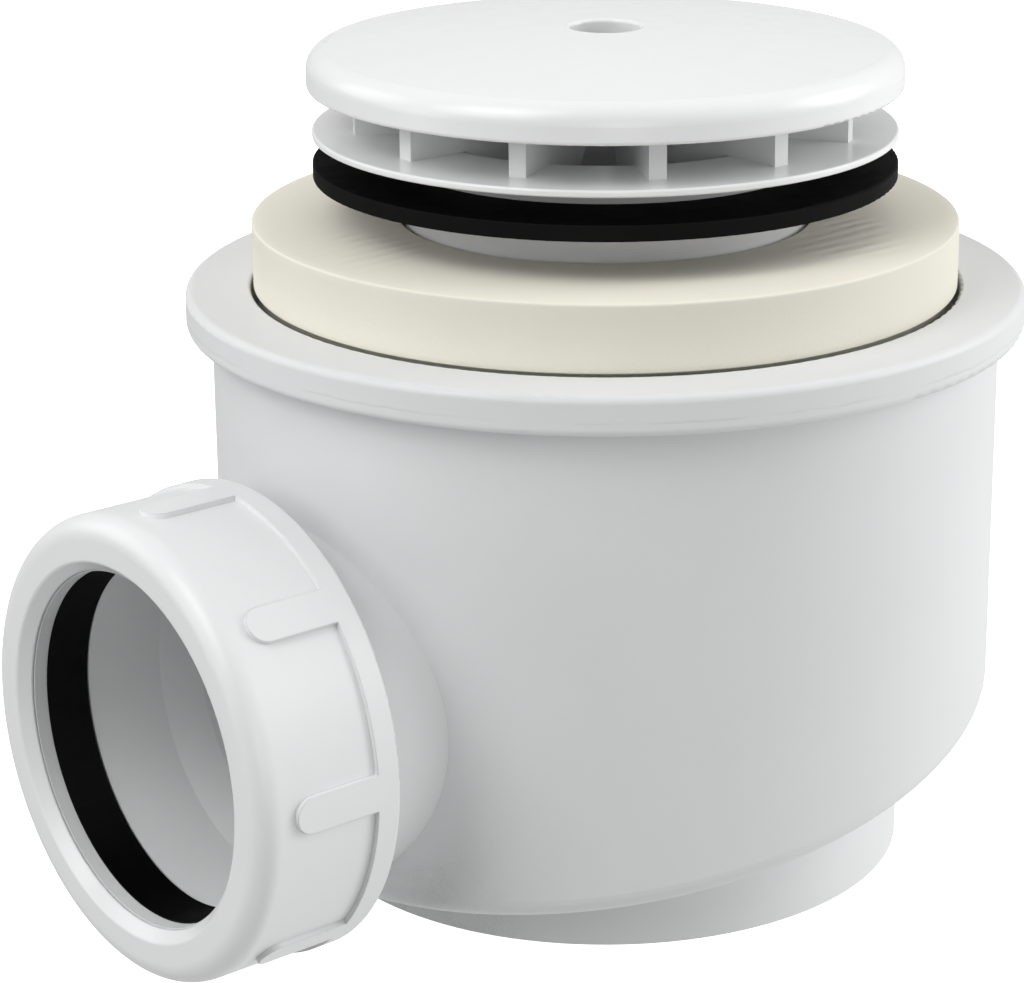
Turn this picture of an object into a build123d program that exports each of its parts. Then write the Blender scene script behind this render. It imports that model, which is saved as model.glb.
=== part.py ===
from build123d import *
import os
from math import cos, radians, sin, sqrt

# A shower trap: a welded plastic body with a seal cup inside and a low side outlet, a waste that
# screws down through the shower tray, and a compression nut for the waste pipe.
# Millimetres. +Z is up, the base stands on Z = 0, and the outlet points along -X.

# Fits
turn_gap = 0.3  # between pieces that turn or slide on one another
push_gap = 0.2  # between pieces pushed together by hand
weld_gap = 0.05  # between welded pieces
thread_gap = 0.7  # between a thread's core and the bore round it, filled by the thread

# Waste pipe, neck and spigot
pipe_radius = 20.0
socket_gap = 0.3  # round the pipe in the outlet's socket
neck_wall = 1.2
spigot_step = 1.9  # the thread's core stands this far out from the neck
pipe_stop_step = 1.0  # how far the socket narrows, to stop the pipe's end
socket_taper_length = 5.0
neck_reach = 5.9  # clear length of neck between the body's wall and the nut

# Union nut
nut_wall = 2.6
nut_length = 17.9
nut_lip_thickness = 1.5
nut_mouth_gap = 1.7  # round the pipe in the nut's mouth
nut_mouth_depth = 1.3  # of the mouth's cone
nut_throat_gap = 0.5  # round the pipe at the cone's end
nut_edge_radius = 2.5
nut_back_edge_radius = 0.4
grip_height = 0.6
grip_ring_width = 3.0
tongue_count = 8
tongue_width = 4.2
tongue_length = 10.6
nut_floor_gap = 1.04  # under the nut, so that the base alone stands on the ground

# Pipe seal and slip washer
washer_thickness = 1.6
washer_play = 0.1
seal_pipe_gap = 0.1
seal_body_length = 3.1
seal_nose_length = 2.2
seal_nose_taper = 1.35

# Body
body_radius = 47.0
wall = 2.2
base_inset = 10.6  # of the base ring from the wall
floor_height = 14.3  # of the floor's underside on the body's axis
floor_fall = 10.7  # degrees, down towards the outlet
floor_edge_radius = 2.5
cup_floor_thickness = 3.0
cup_wall = 2.0

# Water seal, which sets the heights inside
dip_clearance = 6.0  # under the dip tube
water_seal_depth = 50.0
overflow_gap = 4.5  # over the rim of the cup

# Deck
deck_thickness = 2.5
recess_depth = 4.4
deck_flange_thickness = 3.0
body_flange_thickness = 1.55
flange_overhang = 3.0
flange_edge_radius = 0.9
rim_width = 7.76  # of the flange's top, from its edge in to the recess
collar_wall = 3.6
collar_length = 20.0

# Foam, tray space and gasket
foam_gap = 0.24
foam_bore_gap = 0.6
foam_thickness = 12.3
foam_edge_radius = 0.4
tray_space = 4.9
gasket_thickness = 1.97
gasket_edge_radius = 0.25

# Waste
tube_radius = 23.9
tube_wall = 2.9  # at the thread's core
tube_plain_length = 13.0  # above the thread
tube_engagement = 18.0  # of the tube in the deck's collar
tube_end_chamfer = 0.8
hub_step = 1.0
hub_height = 2.94
waste_flange_width = 10.66
waste_rim_thickness = 0.86
waste_flange_root = 1.1  # how much thicker the flange is at its hub
throat_depth = 8.0
throat_wall = 1.9
throat_edge_radius = 0.6

# Dip tube and its ring
dip_wall = 2.0
dip_collar_thickness = 2.5
dip_ring_drop = 4.0  # from the dip tube's collar to its ring
ring_section = 2.0
ring_squeeze = 0.05
ring_groove_width = 2.6
ring_band_width = 6.0

# Cover
cover_overhang = 0.54
cover_side_height = 2.1
cover_edge_radius = 2.5
cover_rise = 2.1
cover_thickness = 2.2
cover_lip_radius = 0.5
pull_hole_radius = 4.3
pull_hole_edge_radius = 0.4
rib_count = 12
rib_thickness = 2.0
rib_height = 4.94  # from the waste's flange to the cover's edge
rib_inset = 5.3  # of the ribs' ends from the cover's edge
rib_inner_radius = 9.0
vane_depth = 5.0  # of the ribs' inner part in the waste's throat
vane_taper = 6.0

# Heights, from the base up
dip_bottom = cup_floor_thickness + dip_clearance
cup_rim = dip_bottom + water_seal_depth
deck_underside = cup_rim + overflow_gap
recess_floor = deck_underside + deck_thickness
deck_top = recess_floor + recess_depth
weld_height = deck_top - deck_flange_thickness
foam_top = recess_floor + foam_thickness
gasket_bottom = foam_top + tray_space
gasket_top = gasket_bottom + gasket_thickness
waste_rim_bottom = gasket_top + hub_height
waste_top = waste_rim_bottom + waste_rim_thickness
cover_bottom = waste_top + rib_height
cover_shoulder = cover_bottom + cover_side_height
cover_edge_top = cover_shoulder + cover_edge_radius
cover_top = cover_edge_top + cover_rise
throat_bottom = waste_top - throat_depth
tube_bottom = recess_floor - tube_engagement
thread_top = gasket_bottom - tube_plain_length

# Radii about the body's axis
body_inner_radius = body_radius - wall
base_radius = body_radius - base_inset
cup_inner_radius = base_radius - cup_wall
flange_radius = body_radius + flange_overhang
recess_radius = flange_radius - rim_width
foam_radius = recess_radius - foam_gap
skirt_radius = body_inner_radius - push_gap
tube_core_radius = tube_radius - thread_gap + turn_gap
collar_bore_radius = tube_radius + turn_gap
collar_radius = collar_bore_radius + collar_wall
hub_radius = tube_radius + hub_step
waste_flange_radius = tube_radius + waste_flange_width
tube_bore_radius = tube_core_radius - tube_wall
throat_radius = tube_radius - throat_wall
cover_radius = waste_flange_radius + cover_overhang
rib_outer_radius = cover_radius - rib_inset

# Radii about the outlet's axis
socket_radius = pipe_radius + socket_gap
neck_radius = socket_radius + neck_wall
spigot_radius = neck_radius + spigot_step
nut_bore_radius = spigot_radius + thread_gap
barrel_radius = nut_bore_radius + nut_wall
grip_radius = barrel_radius + grip_height
mouth_radius = pipe_radius + nut_mouth_gap
throat_bore_radius = pipe_radius + nut_throat_gap
outlet_bore_radius = pipe_radius - pipe_stop_step + socket_gap
outlet_height = grip_radius + nut_floor_gap

# Places along the outlet, from the body's axis out
neck_root = sqrt(body_radius ** 2 - neck_radius ** 2) - push_gap
taper_start = body_radius + push_gap
pipe_stop = taper_start + socket_taper_length
nut_back = body_radius + neck_reach
nut_front = nut_back + nut_length
lip_inside = nut_front - nut_lip_thickness
washer_front = lip_inside - washer_play
washer_back = washer_front - washer_thickness
seal_shoulder = washer_back - seal_body_length
seal_nose = seal_shoulder - seal_nose_length
spigot_end = seal_shoulder - turn_gap
seat_end = seal_nose - turn_gap
spigot_start = nut_back + turn_gap

outlet_axis = Axis((0, 0, outlet_height), (-1, 0, 0))
outlet_section = Plane((0, 0, outlet_height), x_dir=(0, 0, 1), z_dir=(0, -1, 0))
outlet_face = Plane((0, 0, outlet_height), x_dir=(0, 1, 0), z_dir=(-1, 0, 0))


def nearest(section, x, y):
    return section.vertices().sort_by_distance((x, y, 0))[0]


def floor_plane(height):
    """The plane of the floor, which crosses the body's axis at this height."""
    fall = radians(floor_fall)
    return Plane((0, 0, height), x_dir=(cos(fall), 0, sin(fall)), z_dir=(-sin(fall), 0, cos(fall)))


def floor_edge(part):
    """The edge where the wall meets the floor."""
    return part.edges().filter_by(GeomType.LINE, reverse=True).sort_by(Axis.Z)[0]


os.makedirs("parts", exist_ok=True)

# Space inside the body, between its wall and floor
with BuildPart() as body_space:
    with BuildSketch():
        Circle(body_inner_radius)
    extrude(amount=weld_height)
    split(bisect_by=floor_plane(floor_height + wall / cos(radians(floor_fall))), keep=Keep.TOP)

# Outer form of the body's wall and floor
with BuildPart() as body_form:
    with BuildSketch():
        Circle(body_radius)
    extrude(amount=weld_height)
    split(bisect_by=floor_plane(floor_height), keep=Keep.TOP)
    fillet(floor_edge(body_form), floor_edge_radius)

# Trap body: wall, floor and the rim that the deck is welded to
with BuildPart() as trap_body:
    add(body_form.part)
    with BuildSketch(Plane.XZ) as rim:
        with Locations(((body_inner_radius + flange_radius) / 2, weld_height - body_flange_thickness / 2)):
            Rectangle(flange_radius - body_inner_radius, body_flange_thickness)
        fillet(nearest(rim, flange_radius, weld_height - body_flange_thickness), flange_edge_radius)
    revolve(axis=Axis.Z)
    add(body_space.part, mode=Mode.SUBTRACT)
    # holes for the cup and the outlet
    with BuildSketch():
        Circle(base_radius + weld_gap)
    extrude(amount=cup_rim, mode=Mode.SUBTRACT)
    with BuildSketch(outlet_face.offset(neck_root)):
        Circle(outlet_bore_radius)
    extrude(amount=nut_back - neck_root, mode=Mode.SUBTRACT)
trap_body.part.label = "trap_body"
export_step(trap_body.part, "parts/trap_body.step")

# Seal cup, whose foot is the base ring
with BuildPart() as seal_cup:
    with BuildSketch():
        Circle(base_radius)
    extrude(amount=cup_rim)
    with BuildSketch(Plane.XY.offset(cup_floor_thickness)):
        Circle(cup_inner_radius)
    extrude(amount=cup_rim, mode=Mode.SUBTRACT)
seal_cup.part.label = "seal_cup"
export_step(seal_cup.part, "parts/seal_cup.step")

# Outlet neck: a threaded spigot with the pipe's socket and the seal's conical seat
with BuildPart() as outlet_neck:
    with BuildSketch(outlet_section) as neck:
        with BuildLine():
            Polyline((outlet_bore_radius, neck_root), (neck_radius, neck_root), (neck_radius, spigot_start),
                     (spigot_radius, spigot_start + spigot_step), (spigot_radius, spigot_end),
                     (spigot_radius - spigot_step / 2, spigot_end), (socket_radius + seal_nose_taper, seat_end),
                     (socket_radius, seat_end), (socket_radius, pipe_stop), (outlet_bore_radius, taper_start),
                     close=True)
        make_face()
    revolve(axis=outlet_axis)
    add(body_form.part, mode=Mode.SUBTRACT)
    # the neck ends at the floor's edge and does not run on under the floor
    with BuildSketch():
        Circle(body_radius - floor_edge_radius)
    extrude(amount=outlet_height, mode=Mode.SUBTRACT)
outlet_neck.part.label = "outlet_neck"
export_step(outlet_neck.part, "parts/outlet_neck.step")

# Top deck
with BuildPart() as top_deck:
    with BuildSketch(Plane.XZ) as deck:
        with BuildLine():
            Polyline((collar_bore_radius, recess_floor - collar_length),
                     (collar_radius, recess_floor - collar_length), (collar_radius, deck_underside),
                     (skirt_radius, deck_underside), (skirt_radius, weld_height),
                     (flange_radius, weld_height), (flange_radius, deck_top), (recess_radius, deck_top),
                     (recess_radius, recess_floor), (collar_bore_radius, recess_floor), close=True)
        make_face()
        fillet(nearest(deck, flange_radius, deck_top), flange_edge_radius)
        fillet(nearest(deck, recess_radius, deck_top), flange_edge_radius / 2)
    revolve(axis=Axis.Z)
top_deck.part.label = "top_deck"
export_step(top_deck.part, "parts/top_deck.step")

# Foam seal
with BuildPart() as foam_seal:
    foam_bore_radius = tube_radius + foam_bore_gap
    with BuildSketch(Plane.XZ) as foam:
        with Locations(((foam_bore_radius + foam_radius) / 2, recess_floor + foam_thickness / 2)):
            Rectangle(foam_radius - foam_bore_radius, foam_thickness)
        fillet(nearest(foam, foam_radius, foam_top), foam_edge_radius)
    revolve(axis=Axis.Z)
foam_seal.part.label = "foam_seal"
export_step(foam_seal.part, "parts/foam_seal.step")

# Waste gasket
with BuildPart() as waste_gasket:
    gasket_bore_radius = tube_radius + turn_gap
    with BuildSketch(Plane.XZ) as gasket:
        with Locations(((gasket_bore_radius + waste_flange_radius) / 2, (gasket_bottom + gasket_top) / 2)):
            Rectangle(waste_flange_radius - gasket_bore_radius, gasket_thickness)
        fillet(nearest(gasket, waste_flange_radius, gasket_bottom), gasket_edge_radius)
        fillet(nearest(gasket, waste_flange_radius, gasket_top), gasket_edge_radius)
    revolve(axis=Axis.Z)
waste_gasket.part.label = "waste_gasket"
export_step(waste_gasket.part, "parts/waste_gasket.step")

# Waste: flange, hub and tube
with BuildPart() as waste:
    flange_root = waste_rim_bottom - waste_flange_root
    with BuildSketch(Plane.XZ) as section:
        with BuildLine():
            Polyline((tube_bore_radius, tube_bottom), (tube_core_radius, tube_bottom),
                     (tube_core_radius, thread_top), (tube_radius, thread_top + thread_gap),
                     (tube_radius, gasket_top), (hub_radius, gasket_top), (hub_radius, flange_root),
                     (waste_flange_radius - hub_step, waste_rim_bottom),
                     (waste_flange_radius, waste_rim_bottom), (waste_flange_radius, waste_top),
                     (throat_radius, waste_top), (throat_radius, throat_bottom),
                     (tube_bore_radius, throat_bottom), close=True)
        make_face()
        chamfer(nearest(section, tube_core_radius, tube_bottom), tube_end_chamfer)
        fillet(nearest(section, throat_radius, waste_top), throat_edge_radius)
        fillet(nearest(section, waste_flange_radius, waste_top), waste_rim_thickness / 3)
        fillet(nearest(section, waste_flange_radius, waste_rim_bottom), waste_rim_thickness / 3)
    revolve(axis=Axis.Z)
waste.part.label = "waste"
export_step(waste.part, "parts/waste.step")

# Dip tube, hung by its collar in the waste's throat
dip_collar_radius = throat_radius - turn_gap
ring_band_radius = tube_bore_radius - turn_gap
ring_groove_radius = tube_bore_radius - ring_section
dip_bore_radius = ring_groove_radius - dip_wall / 2
dip_radius = dip_bore_radius + dip_wall
ring_height = throat_bottom - dip_ring_drop
with BuildPart() as dip_tube:
    with BuildSketch(Plane.XZ) as section:
        with BuildLine():
            Polyline((dip_bore_radius, dip_bottom), (dip_radius, dip_bottom),
                     (dip_radius, ring_height - ring_band_width / 2 - dip_wall),
                     (ring_band_radius, ring_height - ring_band_width / 2), (ring_band_radius, throat_bottom),
                     (dip_collar_radius, throat_bottom),
                     (dip_collar_radius, throat_bottom + dip_collar_thickness),
                     (dip_bore_radius, throat_bottom + dip_collar_thickness), close=True)
        make_face()
        fillet(nearest(section, dip_bore_radius, throat_bottom + dip_collar_thickness), dip_wall)
        with Locations(((ring_groove_radius + tube_radius) / 2, ring_height)):
            Rectangle(tube_radius - ring_groove_radius, ring_groove_width, mode=Mode.SUBTRACT)
    revolve(axis=Axis.Z)
dip_tube.part.label = "dip_tube"
export_step(dip_tube.part, "parts/dip_tube.step")

# Ring that seals the dip tube in the waste
with BuildPart() as dip_tube_o_ring:
    with BuildSketch(Plane.XZ):
        with Locations(((ring_groove_radius + tube_bore_radius) / 2, ring_height)):
            Circle(ring_section / 2 - ring_squeeze)
    revolve(axis=Axis.Z)
dip_tube_o_ring.part.label = "dip_tube_o_ring"
export_step(dip_tube_o_ring.part, "parts/dip_tube_o_ring.step")

# Cover: a domed cap on radial ribs, whose inner parts stand in the waste's throat
dome_edge_radius = cover_radius - cover_edge_radius
dome_radius = (dome_edge_radius ** 2 + cover_rise ** 2) / (2 * cover_rise)
dome_centre = cover_top - dome_radius
vane_radius = throat_radius - turn_gap
underside_radius = dome_radius - cover_thickness


def cap_height(radius, sphere_radius=underside_radius):
    """Height of the cap's underside at this radius, or of another sphere about the dome's centre."""
    return dome_centre + sqrt(sphere_radius ** 2 - radius ** 2)


with BuildPart() as cover:
    lip_inner_radius = dome_edge_radius + cover_lip_radius
    hole_top = (pull_hole_radius, cap_height(pull_hole_radius, dome_radius))
    hole_bottom = (pull_hole_radius, cap_height(pull_hole_radius))
    rim_underside = (dome_edge_radius, cap_height(dome_edge_radius))
    with BuildSketch(Plane.XZ) as section:
        with BuildLine():
            RadiusArc(hole_top, (dome_edge_radius, cover_edge_top), dome_radius)
            Polyline((dome_edge_radius, cover_edge_top), (cover_radius, cover_edge_top),
                     (cover_radius, cover_bottom), (lip_inner_radius, cover_bottom),
                     (lip_inner_radius, cap_height(dome_edge_radius)), rim_underside)
            RadiusArc(rim_underside, hole_bottom, -underside_radius)
            Line(hole_bottom, hole_top)
        make_face()
        fillet(nearest(section, cover_radius, cover_edge_top), cover_edge_radius)
        fillet(nearest(section, cover_radius, cover_bottom), cover_lip_radius)
        fillet(nearest(section, lip_inner_radius, cover_bottom), cover_lip_radius)
        fillet(nearest(section, *hole_top), pull_hole_edge_radius)
    revolve(axis=Axis.Z)
    for k in range(rib_count):
        turn = radians(360 / rib_count * k)
        with BuildSketch(Plane((0, 0, 0), x_dir=(cos(turn), sin(turn), 0), z_dir=(sin(turn), -cos(turn), 0))):
            with BuildLine():
                Polyline((rib_inner_radius, cap_height(rib_inner_radius) + cover_thickness / 2),
                         (rib_inner_radius, waste_top), (rib_inner_radius + vane_taper, waste_top - vane_depth),
                         (vane_radius, waste_top - vane_depth), (vane_radius, waste_top),
                         (rib_outer_radius, waste_top),
                         (rib_outer_radius, cap_height(rib_outer_radius) + cover_thickness / 2), close=True)
            make_face()
        extrude(amount=rib_thickness / 2, both=True)
cover.part.label = "cover"
export_step(cover.part, "parts/cover.step")

# Union nut: grip ring and tongues, then the barrel and its bore
with BuildPart() as union_nut:
    tongue_tip = nut_back + grip_ring_width + tongue_length - tongue_width / 2
    for k in range(tongue_count):
        turn = radians(360 / tongue_count * k)
        with BuildSketch(Plane((0, 0, outlet_height), x_dir=(-1, 0, 0), z_dir=(0, sin(turn), cos(turn)))):
            with Locations(((nut_back + tongue_tip) / 2, 0)):
                Rectangle(tongue_tip - nut_back, tongue_width)
            with Locations((tongue_tip, 0)):
                Circle(tongue_width / 2)
        extrude(amount=2 * grip_radius)
    with BuildSketch(outlet_face.offset(nut_back)):
        Circle(2 * grip_radius)
    extrude(amount=grip_ring_width)
    with BuildSketch(outlet_section) as grip:
        with BuildLine():
            Polyline((nut_bore_radius, nut_back), (grip_radius, nut_back), (grip_radius, nut_front),
                     (nut_bore_radius, nut_front), close=True)
        make_face()
        fillet(nearest(grip, grip_radius, nut_back), nut_back_edge_radius)
    revolve(axis=outlet_axis, mode=Mode.INTERSECT)
    with BuildSketch(outlet_section) as barrel:
        with BuildLine():
            Polyline((nut_bore_radius, nut_back), (barrel_radius, nut_back), (barrel_radius, nut_front),
                     (mouth_radius, nut_front), (throat_bore_radius, nut_front - nut_mouth_depth),
                     (throat_bore_radius, lip_inside), (nut_bore_radius, lip_inside), close=True)
        make_face()
        fillet(nearest(barrel, barrel_radius, nut_front), nut_edge_radius)
        fillet(nearest(barrel, mouth_radius, nut_front), nut_back_edge_radius)
        chamfer(nearest(barrel, nut_bore_radius, nut_back), thread_gap)
    revolve(axis=outlet_axis)
union_nut.part.label = "union_nut"
export_step(union_nut.part, "parts/union_nut.step")

# Slip washer
with BuildPart() as slip_washer:
    with BuildSketch(outlet_face.offset(washer_back)):
        Circle(nut_bore_radius - push_gap)
        Circle(socket_radius, mode=Mode.SUBTRACT)
    extrude(amount=washer_thickness)
slip_washer.part.label = "slip_washer"
export_step(slip_washer.part, "parts/slip_washer.step")

# Pipe seal, with a nose that wedges into the spigot's seat
with BuildPart() as pipe_seal:
    seal_bore_radius = pipe_radius + seal_pipe_gap
    nose_radius = socket_radius + seal_nose_taper - turn_gap
    with BuildSketch(outlet_section):
        with BuildLine():
            Polyline((seal_bore_radius, seal_nose), (nose_radius, seal_nose),
                     (spigot_radius - spigot_step / 2 - turn_gap, seal_shoulder),
                     (nut_bore_radius - turn_gap, seal_shoulder), (nut_bore_radius - turn_gap, washer_back),
                     (seal_bore_radius, washer_back), close=True)
        make_face()
    revolve(axis=outlet_axis)
pipe_seal.part.label = "pipe_seal"
export_step(pipe_seal.part, "parts/pipe_seal.step")
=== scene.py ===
import bpy
from math import cos, pi, radians, sin
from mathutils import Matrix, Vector, noise


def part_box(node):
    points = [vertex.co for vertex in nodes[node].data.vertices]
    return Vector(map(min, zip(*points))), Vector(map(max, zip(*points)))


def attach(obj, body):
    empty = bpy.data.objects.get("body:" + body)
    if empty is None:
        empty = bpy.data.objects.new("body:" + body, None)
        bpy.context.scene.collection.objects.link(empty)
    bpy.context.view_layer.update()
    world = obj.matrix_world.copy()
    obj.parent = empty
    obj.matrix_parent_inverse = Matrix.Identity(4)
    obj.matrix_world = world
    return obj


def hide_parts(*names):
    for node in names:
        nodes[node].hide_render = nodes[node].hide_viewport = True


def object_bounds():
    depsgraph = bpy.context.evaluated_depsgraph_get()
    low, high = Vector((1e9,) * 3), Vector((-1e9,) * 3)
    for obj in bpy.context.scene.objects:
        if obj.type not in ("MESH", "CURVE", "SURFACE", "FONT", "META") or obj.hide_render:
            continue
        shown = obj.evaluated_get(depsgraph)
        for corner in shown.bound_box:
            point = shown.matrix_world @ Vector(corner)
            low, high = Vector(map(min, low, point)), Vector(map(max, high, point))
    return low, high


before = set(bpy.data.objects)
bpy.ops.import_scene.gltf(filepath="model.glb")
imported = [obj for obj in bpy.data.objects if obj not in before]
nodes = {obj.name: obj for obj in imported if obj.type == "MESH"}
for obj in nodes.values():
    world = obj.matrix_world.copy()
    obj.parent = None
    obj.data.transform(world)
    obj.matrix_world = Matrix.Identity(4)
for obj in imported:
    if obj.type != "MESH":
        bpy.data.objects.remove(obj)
cadLow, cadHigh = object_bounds()
mm = 0.001
print("frame loaded:", len(nodes), "pieces")


# Small helpers

def boxOf(name):
    low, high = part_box(name)
    return low, high, (low + high) / 2


def addObject(name, data):
    thing = bpy.data.objects.new(name, data)
    bpy.context.scene.collection.objects.link(thing)
    return thing


def meshPiece(name, verts, faces, material, body):
    mesh = bpy.data.meshes.new(name)
    mesh.from_pydata(verts, [], faces)
    mesh.validate()
    mesh.shade_smooth()
    mesh.materials.append(material)
    piece = addObject(name, mesh)
    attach(piece, body)
    return piece


def loopFaces(rings, around):
    # quads between neighbouring rings of points, closed both ways
    faces = []
    for r in range(rings):
        for k in range(around):
            n = (k + 1) % around
            s = (r + 1) % rings
            faces.append((r * around + k, r * around + n, s * around + n, s * around + k))
    return faces


# Shader tools

def feed(tree, socket, value):
    if isinstance(value, bpy.types.NodeSocket):
        tree.links.new(value, socket)
    else:
        socket.default_value = value


def nodeGroup(name, inputs, outputs):
    group = bpy.data.node_groups.new(name, "ShaderNodeTree")
    for label, kind, value in inputs:
        socket = group.interface.new_socket(name=label, in_out="INPUT", socket_type=kind)
        if value is not None:
            socket.default_value = value
    for label in outputs:
        group.interface.new_socket(name=label, in_out="OUTPUT", socket_type="NodeSocketFloat")
    source = group.nodes.new("NodeGroupInput").outputs
    return group, source, group.nodes.new("NodeGroupOutput").inputs


def addNode(tree, kind, values=None, **settings):
    node = tree.nodes.new(kind)
    for key, value in settings.items():
        setattr(node, key, value)
    for key, value in (values or {}).items():
        feed(tree, node.inputs[key], value)
    return node


def mathNode(tree, operation, a, b=0.0, clamp=False):
    return addNode(tree, "ShaderNodeMath", {0: a, 1: b}, operation=operation, use_clamp=clamp).outputs[0]


def product(tree, first, *others):
    for other in others:
        first = mathNode(tree, "MULTIPLY", first, other)
    return first


def vectorNode(tree, operation, a, b=(0, 0, 0)):
    return addNode(tree, "ShaderNodeVectorMath", {0: a, 1: b}, operation=operation).outputs


def axesOf(tree, vector):
    return addNode(tree, "ShaderNodeSeparateXYZ", {0: vector}).outputs


def awayFromAxis(tree, place):
    # level part of a place, and its heading from the body's axis
    flat = vectorNode(tree, "MULTIPLY", place, (1, 1, 0))["Vector"]
    return flat, vectorNode(tree, "NORMALIZE", flat)["Vector"]


def remap(tree, value, low, high, toLow=0.0, toHigh=1.0, smooth=False):
    node = addNode(tree, "ShaderNodeMapRange", {0: value, 1: low, 2: high, 3: toLow, 4: toHigh},
                   interpolation_type="SMOOTHSTEP" if smooth else "LINEAR")
    return node.outputs[0]


def noiseNode(tree, vector, scale, detail=2.0, roughness=0.5):
    node = addNode(tree, "ShaderNodeTexNoise",
                   {"Vector": vector, "Scale": scale, "Detail": detail, "Roughness": roughness})
    return node.outputs["Fac"]


def mixNode(tree, kind, mask, a, b):
    node = addNode(tree, "ShaderNodeMix", {"Factor": mask, "A": a, "B": b}, data_type=kind)
    return node.outputs["Result"]


def tint(tree, mask, dark, pale):
    return mixNode(tree, "RGBA", mask, (*dark, 1), (*pale, 1))


def overlay(tree, mask, under, colour):
    return mixNode(tree, "RGBA", mask, under, (*colour, 1))


def bumpNode(tree, height, distance, below=None):
    node = addNode(tree, "ShaderNodeBump", {"Height": height, "Distance": distance, "Strength": 1.0})
    if below is not None:
        tree.links.new(below, node.inputs["Normal"])
    return node.outputs["Normal"]


def roundedEdges(tree, radius, samples=6):
    return addNode(tree, "ShaderNodeBevel", {"Radius": radius}, samples=samples).outputs["Normal"]


def faceTilt(tree):
    # 1 on faces that look straight up, -1 on those that look down
    surface = addNode(tree, "ShaderNodeNewGeometry")
    return axesOf(tree, surface.outputs["True Normal"])["Z"]


def newMaterial(name):
    material = bpy.data.materials.new(name)
    material.use_nodes = True
    return material, material.node_tree


def placeOf(tree):
    return addNode(tree, "ShaderNodeTexCoord").outputs["Object"]


def placeGroup(tree, group, place, values=None):
    return addNode(tree, "ShaderNodeGroup", {"Vector": place, **(values or {})}, node_tree=group).outputs


def dress(tree, values):
    bsdf = tree.nodes["Principled BSDF"]
    for label, value in values.items():
        feed(tree, bsdf.inputs[label], value)


# Moulded surface: tool grain, slow mottling and the fine haze that handling leaves
mould = {"grainScale": 2600.0, "mottleScale": 55.0, "hazeScale": 240.0,
         "grainSpread": (0.3, 0.7), "mottleSpread": (0.35, 0.65), "hazeSpread": (0.4, 0.66)}


def makeMouldGrain():
    group, source, out = nodeGroup(
        "mouldGrain",
        [("Vector", "NodeSocketVector", None), ("Grain Scale", "NodeSocketFloat", mould["grainScale"]),
         ("Mottle Scale", "NodeSocketFloat", mould["mottleScale"])],
        ["Grain", "Mottle", "Haze"])
    vector = source["Vector"]
    grain = noiseNode(group, vector, source["Grain Scale"], detail=4.0, roughness=0.65)
    mottle = noiseNode(group, vector, source["Mottle Scale"], detail=3.0)
    haze = noiseNode(group, vector, mould["hazeScale"], detail=5.0, roughness=0.6)
    feed(group, out["Grain"], remap(group, grain, *mould["grainSpread"]))
    feed(group, out["Mottle"], remap(group, mottle, *mould["mottleSpread"], smooth=True))
    feed(group, out["Haze"], remap(group, haze, *mould["hazeSpread"], smooth=True))
    return group


# Soft line where two mouldings meet: 1 on the line, fading out to both sides
weldLine = {"width": 0.2 * mm, "wobble": 0.4 * mm, "wobbleScale": 420.0, "breakScale": 90.0,
            "breakSpread": (0.35, 0.6)}


def makeSeamLine():
    group, source, out = nodeGroup(
        "seamLine",
        [("Vector", "NodeSocketVector", None), ("Height", "NodeSocketFloat", 0.0),
         ("Width", "NodeSocketFloat", weldLine["width"])],
        ["Seam"])
    vector = source["Vector"]
    wobble = noiseNode(group, vector, weldLine["wobbleScale"])
    swing = mathNode(group, "SUBTRACT", wobble, 0.5)  # as much up as down
    level = mathNode(group, "ADD", axesOf(group, vector)["Z"], product(group, swing, weldLine["wobble"]))
    away = mathNode(group, "ABSOLUTE", mathNode(group, "SUBTRACT", level, source["Height"]))
    share = mathNode(group, "DIVIDE", away, source["Width"], clamp=True)
    breaks = noiseNode(group, vector, weldLine["breakScale"])
    breaks = remap(group, breaks, *weldLine["breakSpread"], smooth=True)
    feed(group, out["Seam"], product(group, mathNode(group, "SUBTRACT", 1.0, share), breaks))
    return group


# Satin white of the trap's own mouldings
whiteBody = {"dark": (0.75, 0.755, 0.76), "pale": (0.762, 0.767, 0.772), "seamTint": (0.69, 0.69, 0.69),
             "rough": (0.42, 0.46), "ior": 1.49, "specular": 0.4, "grainScale": 2300.0,
             "grainDepth": 0.06 * mm, "skinGrain": 0.05, "sandGrain": (0.9, 1.9),
             "sandHeight": (20 * mm, 10 * mm), "sandSide": (-0.79, -0.89), "seamDepth": 0.3}


# Mask of the tool's spark-eroded skin, which shows at the foot on the outlet side
def sandMask(tree, place, haze):
    _, heading = awayFromAxis(tree, place)
    low = remap(tree, axesOf(tree, place)["Z"], *whiteBody["sandHeight"], smooth=True)
    side = remap(tree, axesOf(tree, heading)["X"], *whiteBody["sandSide"], smooth=True)
    patches = remap(tree, haze, 0, 1, *whiteBody["sandGrain"])
    return product(tree, low, side, patches)


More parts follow.
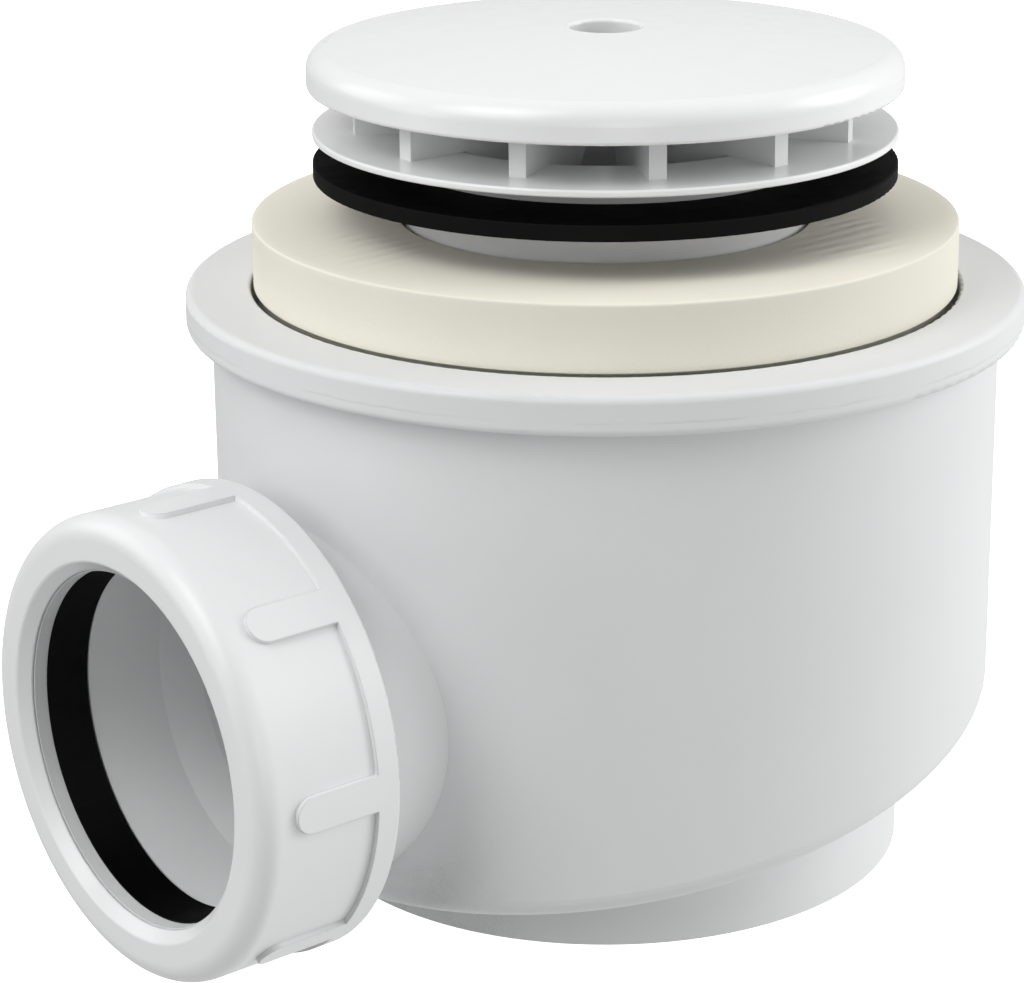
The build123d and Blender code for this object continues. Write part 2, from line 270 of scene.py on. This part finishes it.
def makeWhiteBody(name, sandy):
    material, tree = newMaterial(name)
    place = placeOf(tree)
    grain = placeGroup(tree, mouldGrain, place, {"Grain Scale": whiteBody["grainScale"]})
    seam = placeGroup(tree, seamLine, place, {"Height": boxOf("trap_body")[1].z})["Seam"]
    coarse = whiteBody["skinGrain"]
    if sandy:
        coarse = mathNode(tree, "MAXIMUM", sandMask(tree, place, grain["Haze"]), coarse)
    plain = tint(tree, grain["Mottle"], whiteBody["dark"], whiteBody["pale"])
    groove = product(tree, seam, whiteBody["seamDepth"])
    height = mathNode(tree, "SUBTRACT", product(tree, grain["Grain"], coarse), groove)
    dress(tree, {"Base Color": overlay(tree, seam, plain, whiteBody["seamTint"]),
                 "Roughness": remap(tree, grain["Haze"], 0, 1, *whiteBody["rough"]),
                 "Normal": bumpNode(tree, height, whiteBody["grainDepth"]),
                 "IOR": whiteBody["ior"], "Specular IOR Level": whiteBody["specular"]})
    return material


# Glossy white of the cover and waste, and of the union nut
coverGloss = {"dark": (0.865, 0.87, 0.872), "pale": (0.875, 0.88, 0.882), "rough": (0.22, 0.24),
              "ior": 1.5, "specular": 0.5, "grainScale": 900.0, "grainDepth": 0.002 * mm,
              "edge": 0, "lipRadius": 0.5 * mm, "lipHeight": 93.91 * mm}
nutGloss = {"dark": (0.81, 0.815, 0.82), "pale": (0.82, 0.825, 0.83), "rough": (0.3, 0.33),
            "ior": 1.5, "specular": 0.5, "grainScale": 900.0, "grainDepth": 0.002 * mm,
            "edge": 0.25 * mm, "lipRadius": 0}


# True round of the cover's lower edge, which the mesh only gives in long slivers
def lipNormal(tree, place, below, look):
    ring = boxOf("cover")[1].x - look["lipRadius"]
    middle = look["lipHeight"] + look["lipRadius"]
    flat, heading = awayFromAxis(tree, place)
    spoke = vectorNode(tree, "MULTIPLY", heading, (ring, ring, ring))["Vector"]
    core = vectorNode(tree, "ADD", spoke, (0, 0, middle))["Vector"]
    outward = vectorNode(tree, "SUBTRACT", place, core)["Vector"]
    world = addNode(tree, "ShaderNodeVectorTransform", {0: outward}, vector_type="NORMAL",
                    convert_from="OBJECT", convert_to="WORLD").outputs[0]
    height = axesOf(tree, place)["Z"]
    outside = mathNode(tree, "GREATER_THAN", vectorNode(tree, "LENGTH", flat)["Value"], ring)
    under = mathNode(tree, "LESS_THAN", height, middle)
    over = mathNode(tree, "GREATER_THAN", height, look["lipHeight"] - look["lipRadius"])
    return mixNode(tree, "VECTOR", product(tree, outside, under, over), below, world)


def makeWhiteGloss(name, look):
    material, tree = newMaterial(name)
    place = placeOf(tree)
    grain = placeGroup(tree, mouldGrain, place, {"Grain Scale": look["grainScale"]})
    rounded = roundedEdges(tree, look["edge"]) if look["edge"] else None
    normal = bumpNode(tree, grain["Grain"], look["grainDepth"], rounded)
    if look["lipRadius"]:
        normal = lipNormal(tree, place, normal, look)
    dress(tree, {"Base Color": tint(tree, grain["Mottle"], look["dark"], look["pale"]),
                 "Roughness": remap(tree, grain["Haze"], 0, 1, *look["rough"]), "Normal": normal,
                 "IOR": look["ior"], "Specular IOR Level": look["specular"]})
    return material


# Grey slip washer
washer = {"dark": (0.66, 0.665, 0.67), "pale": (0.72, 0.725, 0.73), "rough": (0.45, 0.6), "ior": 1.5,
          "specular": 0.35, "grainDepth": 0.02 * mm}


def makeWasherGrey():
    material, tree = newMaterial("washerGrey")
    grain = placeGroup(tree, mouldGrain, placeOf(tree))
    dress(tree, {"Base Color": tint(tree, grain["Mottle"], washer["dark"], washer["pale"]),
                 "Roughness": remap(tree, grain["Haze"], 0, 1, *washer["rough"]),
                 "Normal": bumpNode(tree, grain["Grain"], washer["grainDepth"]),
                 "IOR": washer["ior"], "Specular IOR Level": washer["specular"]})
    return material


# Black rubber of the gasket and seals: the flat faces are painted near-black, painted shade as under the
# flange, while the side edge keeps the rubber's own black
rubber = {"dark": (0.0075, 0.0075, 0.0075), "pale": (0.0085, 0.0085, 0.0085),
          "face": (0.0012, 0.0012, 0.0012), "faceTilt": (0.6, 0.95), "rough": (0.6, 0.66), "ior": 1.45,
          "specular": 0.03, "grainScale": 3200.0, "mottleScale": 140.0, "grainDepth": 0.01 * mm}


def makeBlackRubber():
    material, tree = newMaterial("blackRubber")
    grain = placeGroup(tree, mouldGrain, placeOf(tree),
                       {"Grain Scale": rubber["grainScale"], "Mottle Scale": rubber["mottleScale"]})
    cut = tint(tree, grain["Mottle"], rubber["dark"], rubber["pale"])
    # painted shade: faces that look straight up or down are painted blacker than the side edge
    shadedFaces = remap(tree, mathNode(tree, "ABSOLUTE", faceTilt(tree)), *rubber["faceTilt"])
    dress(tree, {"Base Color": overlay(tree, shadedFaces, cut, rubber["face"]),
                 "Roughness": remap(tree, grain["Haze"], 0, 1, *rubber["rough"]),
                 "Normal": bumpNode(tree, grain["Grain"], rubber["grainDepth"]),
                 "IOR": rubber["ior"], "Specular IOR Level": rubber["specular"]})
    return material


# Cream foam ring, cut from sheet: its sides draw in a little and its edges are never quite true
# the upward face's colour is the cut foam's cream painted paler: painted light on the top
foam = {"dark": (0.785, 0.77, 0.665), "pale": (0.81, 0.795, 0.69), "paintedLightCutFace": (0.89, 0.865, 0.745),
        "toneScale": 45.0, "toneSpread": (0.3, 0.7), "faceTilt": (0.6, 0.95), "rough": 0.9, "ior": 1.4,
        "specular": 0.15, "sheen": 0.08, "cellScale": 2600.0, "cellSmooth": 0.4, "cellDepth": 0.012 * mm,
        "bore": 24.5 * mm, "edgeRadius": 0.3 * mm, "rebateDepth": 0.9 * mm, "rebateHeight": 0.1 * mm,
        "waist": 0.06 * mm, "waviness": 0.05 * mm, "sideWaves": 90, "topWaves": 120, "footFade": 3,
        "topShare": 0.97, "around": 300, "sideSteps": 14, "topSteps": 16, "cornerSteps": 4}
# saw marks: each place is x, y and how far the marks reach from there
saw = {"places": ((13 * mm, -27 * mm, 13 * mm), (-33 * mm, 5 * mm, 13 * mm)), "core": 0.3,
       "pitch": 2.3 * mm, "wander": 1.6 * mm, "wanderScale": 110.0, "depth": 0.06 * mm,
       "breakScale": 160.0, "breakSpread": (0.36, 0.6), "breakShare": (0.25, 1.0),
       "tint": (0.72, 0.70, 0.62), "tintFrom": (-0.1, -1.0), "tintShare": (0.0, 0.28)}


# Fine closed cells, and the saw's straight marks where they show on the cut face
def makeFoamCells():
    group, source, out = nodeGroup(
        "foamCells",
        [("Vector", "NodeSocketVector", None), ("Cell Scale", "NodeSocketFloat", foam["cellScale"]),
         ("Cut Pitch", "NodeSocketFloat", saw["pitch"])],
        ["Cells", "Cuts", "Tone"])
    vector = source["Vector"]
    bubbles = {"Vector": vector, "Scale": source["Cell Scale"], "Smoothness": foam["cellSmooth"]}
    cells = addNode(group, "ShaderNodeTexVoronoi", bubbles, feature="SMOOTH_F1").outputs["Distance"]
    wander = product(group, noiseNode(group, vector, saw["wanderScale"]), saw["wander"])
    path = mathNode(group, "ADD", axesOf(group, vector)["Y"], wander)
    phase = mathNode(group, "DIVIDE", path, source["Cut Pitch"])
    wave = mathNode(group, "SINE", product(group, phase, 2 * pi))
    # the marks fade out round the few places where the saw bit
    top = boxOf("foam_seal")[1].z
    marked = 0.0
    for x, y, reach in saw["places"]:
        away = vectorNode(group, "DISTANCE", vector, (x, y, top))["Value"]
        near = remap(group, away, reach, reach * saw["core"], smooth=True)
        marked = mathNode(group, "MAXIMUM", near, marked)
    broken = noiseNode(group, vector, saw["breakScale"])
    broken = remap(group, broken, *saw["breakSpread"], *saw["breakShare"], smooth=True)
    tone = noiseNode(group, vector, foam["toneScale"], detail=3.0)
    feed(group, out["Cells"], cells)
    feed(group, out["Cuts"], product(group, wave, marked, broken))
    feed(group, out["Tone"], remap(group, tone, *foam["toneSpread"]))
    return group


def makeCreamFoam():
    material, tree = newMaterial("creamFoam")
    skin = placeGroup(tree, foamCells, placeOf(tree))
    # the upward face carries the saw marks and is painted paler than the sides, painted light on the top
    top = remap(tree, faceTilt(tree), *foam["faceTilt"], smooth=True)
    marks = product(tree, skin["Cuts"], top)
    colour = tint(tree, skin["Tone"], foam["dark"], foam["pale"])
    colour = overlay(tree, top, colour, foam["paintedLightCutFace"])
    colour = overlay(tree, remap(tree, marks, *saw["tintFrom"], *saw["tintShare"]), colour, saw["tint"])
    cellBump = bumpNode(tree, skin["Cells"], foam["cellDepth"])
    dress(tree, {"Base Color": colour, "Roughness": foam["rough"], "Sheen Weight": foam["sheen"],
                 "Normal": bumpNode(tree, marks, saw["depth"], cellBump),
                 "IOR": foam["ior"], "Specular IOR Level": foam["specular"]})
    return material


def foamSection():
    low, high, _ = boxOf("foam_seal")
    inner, outer = foam["bore"], high.x
    bottom, top = low.z, high.z
    r = foam["edgeRadius"]
    section = []

    def corner(x, z, start, radius=r):
        for k in range(foam["cornerSteps"] + 1):
            turn = start + pi / 2 * k / foam["cornerSteps"]
            section.append((x + radius * cos(turn), z + radius * sin(turn)))

    def run(a, b, steps):
        for k in range(1, steps):
            section.append((a[0] + (b[0] - a[0]) * k / steps, a[1] + (b[1] - a[1]) * k / steps))

    foot = outer - foam["rebateDepth"]
    ledge = boxOf("top_deck")[1].z + foam["rebateHeight"]  # from here up it overhangs the recess's edge
    corner(foot - r, bottom + r, -pi / 2)
    section.append((foot, ledge))
    section.append((outer - r, ledge))
    corner(outer - r / 2, ledge + r / 2, -pi / 2, r / 2)
    run((outer, ledge + r / 2), (outer, top - r), foam["sideSteps"])
    corner(outer - r, top - r, 0)
    run((outer - r, top), (inner + r, top), foam["topSteps"])
    corner(inner + r, top - r, pi / 2)
    run((inner, top - r), (inner, bottom + r), foam["sideSteps"])
    corner(inner + r, bottom + r, pi)
    run((inner + r, bottom), (foot - r, bottom), foam["topSteps"])
    return section


def foamWave(spot, scale):
    # from nothing to the full waviness
    return foam["waviness"] * (0.5 + 0.5 * noise.noise(spot * scale))


def makeFoamRing():
    low, high, _ = boxOf("foam_seal")
    section = foamSection()
    verts = []
    for x, z in section:
        share = (z - low.z) / (high.z - low.z)
        pull = foam["waist"] * 4 * share * (1 - share)  # sides draw in most at mid height
        for k in range(foam["around"]):
            turn = 2 * pi * k / foam["around"]
            spot = Vector((x * cos(turn), x * sin(turn), z))
            wave = foamWave(spot, foam["sideWaves"]) * min(1.0, share * foam["footFade"])
            reach = x - pull - wave if x > (foam["bore"] + high.x) / 2 else x + pull
            drop = foamWave(spot, foam["topWaves"]) if share > foam["topShare"] else 0
            verts.append((reach * cos(turn), reach * sin(turn), z - drop))
    faces = loopFaces(len(section), foam["around"])
    ring = meshPiece("foam_ring", verts, faces, creamFoam, "trap")
    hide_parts("foam_seal")


# Threads: one ridge wound round its core, run out to nothing at both ends
outletHeight = boxOf("pipe_seal")[2].z


def aboutBody(radius, turn, along):
    return radius * cos(turn), radius * sin(turn), along


def aboutOutlet(radius, turn, along):
    # turns about -X, so that the outlet's screws are right-handed too
    return -along, -radius * cos(turn), outletHeight + radius * sin(turn)


threads = {
    "spigot_thread": {"body": "trap", "slot": "white_moulding", "place": aboutOutlet,
                      "root": 23.36 * mm, "crest": 23.93 * mm, "rootWidth": 1.9 * mm,
                      "crestWidth": 0.9 * mm, "pitch": 3.5 * mm, "phase": 0.0,
                      "start": 55.2 * mm, "end": 62.9 * mm},
    "nut_thread": {"body": "outlet_nut", "slot": "white_gloss", "place": aboutOutlet,
                   "root": 24.14 * mm, "crest": 23.58 * mm, "rootWidth": 1.4 * mm,
                   "crestWidth": 0.7 * mm, "pitch": 3.5 * mm, "phase": 0.5,
                   "start": 54.5 * mm, "end": 63.5 * mm},
    "waste_thread": {"body": "screw_waste", "slot": "white_gloss", "place": aboutBody,
                     "root": 23.46 * mm, "crest": 24.02 * mm, "rootWidth": 1.35 * mm,
                     "crestWidth": 0.55 * mm, "pitch": 2.309 * mm, "phase": 0.0,
                     "start": 49.6 * mm, "end": 69.6 * mm},
    "collar_thread": {"body": "trap", "slot": "white_moulding", "place": aboutBody,
                      "root": 24.24 * mm, "crest": 23.68 * mm, "rootWidth": 0.9 * mm,
                      "crestWidth": 0.35 * mm, "pitch": 2.309 * mm, "phase": 0.5,
                      "start": 47.2 * mm, "end": 64.6 * mm},
}
threadSteps = {"perTurn": 90, "runOut": 0.3, "tip": 0.02, "sharpFrom": 35}  # run-out in turns


def makeThread(name, material):
    ridge = threads[name]
    turns = (ridge["end"] - ridge["start"]) / ridge["pitch"]
    count = int(turns * threadSteps["perTurn"])
    shift = 2 * pi * (ridge["start"] / ridge["pitch"] + ridge["phase"])
    corners = [(ridge["root"], -ridge["rootWidth"] / 2), (ridge["crest"], -ridge["crestWidth"] / 2),
               (ridge["crest"], ridge["crestWidth"] / 2), (ridge["root"], ridge["rootWidth"] / 2)]
    sides = len(corners)
    verts = []
    for k in range(count + 1):
        turn = 2 * pi * turns * k / count
        along = ridge["start"] + ridge["pitch"] * turn / (2 * pi)
        left = min(k, count - k) / threadSteps["perTurn"]
        size = min(1.0, threadSteps["tip"] + left / threadSteps["runOut"])  # grows from nothing at each end
        for radius, side in corners:
            reach = ridge["root"] + (radius - ridge["root"]) * size
            verts.append(ridge["place"](reach, turn + shift, along + side * size))
    faces = []
    for k in range(count):
        here, there = k * sides, (k + 1) * sides
        for j in range(sides):
            n = (j + 1) % sides
            faces.append((here + j, here + n, there + n, there + j))
    faces.append(tuple(reversed(range(sides))))
    faces.append(tuple(count * sides + j for j in range(sides)))
    piece = meshPiece(name, verts, faces, material, ridge["body"])
    piece.data.set_sharp_from_angle(angle=radians(threadSteps["sharpFrom"]))


# Build: the finishes first, then the pieces that only the scene has
mouldGrain = makeMouldGrain()
foamCells = makeFoamCells()
seamLine = makeSeamLine()
whiteMoulding = makeWhiteBody("whiteMoulding", sandy=True)
neckMoulding = makeWhiteBody("neckMoulding", sandy=False)
coverWhite = makeWhiteGloss("coverWhite", coverGloss)
nutWhite = makeWhiteGloss("nutWhite", nutGloss)
washerGrey = makeWasherGrey()
blackRubber = makeBlackRubber()
creamFoam = makeCreamFoam()
finishes = {"trap_body": whiteMoulding, "seal_cup": whiteMoulding, "outlet_neck": neckMoulding,
            "top_deck": whiteMoulding, "dip_tube": whiteMoulding,
            "waste": coverWhite, "cover": coverWhite, "union_nut": nutWhite, "slip_washer": washerGrey,
            "waste_gasket": blackRubber, "pipe_seal": blackRubber, "dip_tube_o_ring": blackRubber,
            "foam_seal": creamFoam}
threadFinishes = {"spigot_thread": neckMoulding, "nut_thread": nutWhite, "waste_thread": coverWhite,
                  "collar_thread": whiteMoulding}
shadeOffset = 0.25  # no stepped shade on the small rounded edges
for name, material in finishes.items():
    nodes[name].data.materials.clear()
    nodes[name].data.materials.append(material)
    nodes[name].cycles.shadow_terminator_offset = shadeOffset
print("finishes given to", len(finishes), "pieces")

makeFoamRing()
print("foam ring made")
for name, material in threadFinishes.items():
    makeThread(name, material)
print("threads wound")


# Camera, from the picture's own perspective: its size and the lens axis in pixels
picture = {"width": 1024, "height": 983, "axisX": 605.8, "axisY": 443.6, "focalPixels": 3222.9}
shot = {"place": (-0.2456, -0.2816, 0.1695), "down": 17.842, "heading": -41.1, "sensor": 36.0,
        "nearest": 10 * mm}


def makeCamera():
    data = bpy.data.cameras.new("camera")
    data.sensor_width = shot["sensor"]
    data.lens = picture["focalPixels"] * shot["sensor"] / picture["width"]
    data.shift_x = (picture["width"] / 2 - picture["axisX"]) / picture["width"]
    data.shift_y = (picture["axisY"] - picture["height"] / 2) / picture["width"]
    data.clip_start = shot["nearest"]
    camera = addObject("camera", data)
    camera.location = shot["place"]
    camera.rotation_euler = (radians(90 - shot["down"]), 0, radians(shot["heading"]))
    bpy.context.scene.camera = camera


# Studio: white floor, soft boxes and a pale room, with its sides named as the camera sees them
floorLook = {"radius": 40.0, "points": 96, "colour": (0.93, 0.93, 0.93), "glow": 1.0, "rough": 0.9}
room = {"up": 0.65, "down": 0.84, "ahead": 0.66, "behind": 0.0, "right": 1.1, "left": 0.0}
softBoxes = {  # right, ahead and up are metres from the body's foot
    "rightBox": {"right": 0.8, "ahead": 0.1, "up": 0.35, "size": 0.6, "power": 2.85},
    "leftBox": {"right": -0.8, "ahead": 0.2, "up": 0.4, "size": 0.6, "power": 1.6},
    "lowFrontBox": {"right": 0.1, "ahead": -0.95, "up": 0.12, "size": 0.5, "power": 1.2},
    "lowLeftBox": {"right": -0.95, "ahead": -0.3, "up": 0.12, "size": 0.5, "power": 1.15},
    "outletBox": {"right": -0.65, "ahead": -0.55, "up": 0.6, "size": 0.7, "power": 3.55},
    "steepBox": {"right": -0.5, "ahead": -0.45, "up": 0.95, "size": 0.6, "power": 2.5},
}
white = (1, 1, 1, 1)


def makeFloor():
    verts = []
    for k in range(floorLook["points"]):
        turn = 2 * pi * k / floorLook["points"]
        verts.append((floorLook["radius"] * cos(turn), floorLook["radius"] * sin(turn), 0))
    mesh = bpy.data.meshes.new("floor")
    mesh.from_pydata(verts, [], [tuple(range(floorLook["points"]))])
    material, tree = newMaterial("paleFloor")
    dress(tree, {"Base Color": (*floorLook["colour"], 1), "Roughness": floorLook["rough"],
                 "Specular IOR Level": 0.0, "Emission Color": white,
                 "Emission Strength": floorLook["glow"]})
    mesh.materials.append(material)
    floor = addObject("floor", mesh)
    floor.visible_diffuse = False  # the floor shows, but the room below lights the foot
    floor.visible_shadow = False
    floor.visible_glossy = False


def viewAxes():
    heading = radians(shot["heading"])
    right = Vector((cos(heading), sin(heading), 0))
    ahead = Vector((-sin(heading), cos(heading), 0))
    return right, ahead, Vector((0, 0, 1))


def makeRoom():
    # light cube: each direction takes its share of the six sides
    world = bpy.data.worlds.new("room")
    bpy.context.scene.world = world
    world.use_nodes = True
    tree = world.node_tree
    direction = addNode(tree, "ShaderNodeTexCoord").outputs["Generated"]
    total = 0.0
    for axis, plus, minus in zip(viewAxes(), ("right", "ahead", "up"), ("left", "behind", "down")):
        share = vectorNode(tree, "DOT_PRODUCT", direction, axis)["Value"]
        front = mathNode(tree, "GREATER_THAN", share, 0.0)
        level = mathNode(tree, "ADD", product(tree, front, room[plus] - room[minus]), room[minus])
        total = mathNode(tree, "ADD", product(tree, share, share, level), total)
    background = tree.nodes["Background"]
    feed(tree, background.inputs["Color"], white)
    feed(tree, background.inputs["Strength"], total)


def makeSoftBoxes():
    right, ahead, up = viewAxes()
    aim = Vector((0, 0, cadHigh.z / 2))
    for name, box in softBoxes.items():
        data = bpy.data.lights.new(name, "AREA")
        data.shape = "DISK"
        data.size = box["size"]
        data.energy = box["power"]
        light = addObject(name, data)
        light.location = right * box["right"] + ahead * box["ahead"] + up * box["up"]
        light.rotation_euler = (aim - light.location).to_track_quat("-Z", "Y").to_euler()


makeCamera()
makeFloor()
makeRoom()
makeSoftBoxes()
bpy.context.scene.view_settings.view_transform = "Standard"
bpy.context.scene.view_settings.look = "None"
print("camera and studio set")
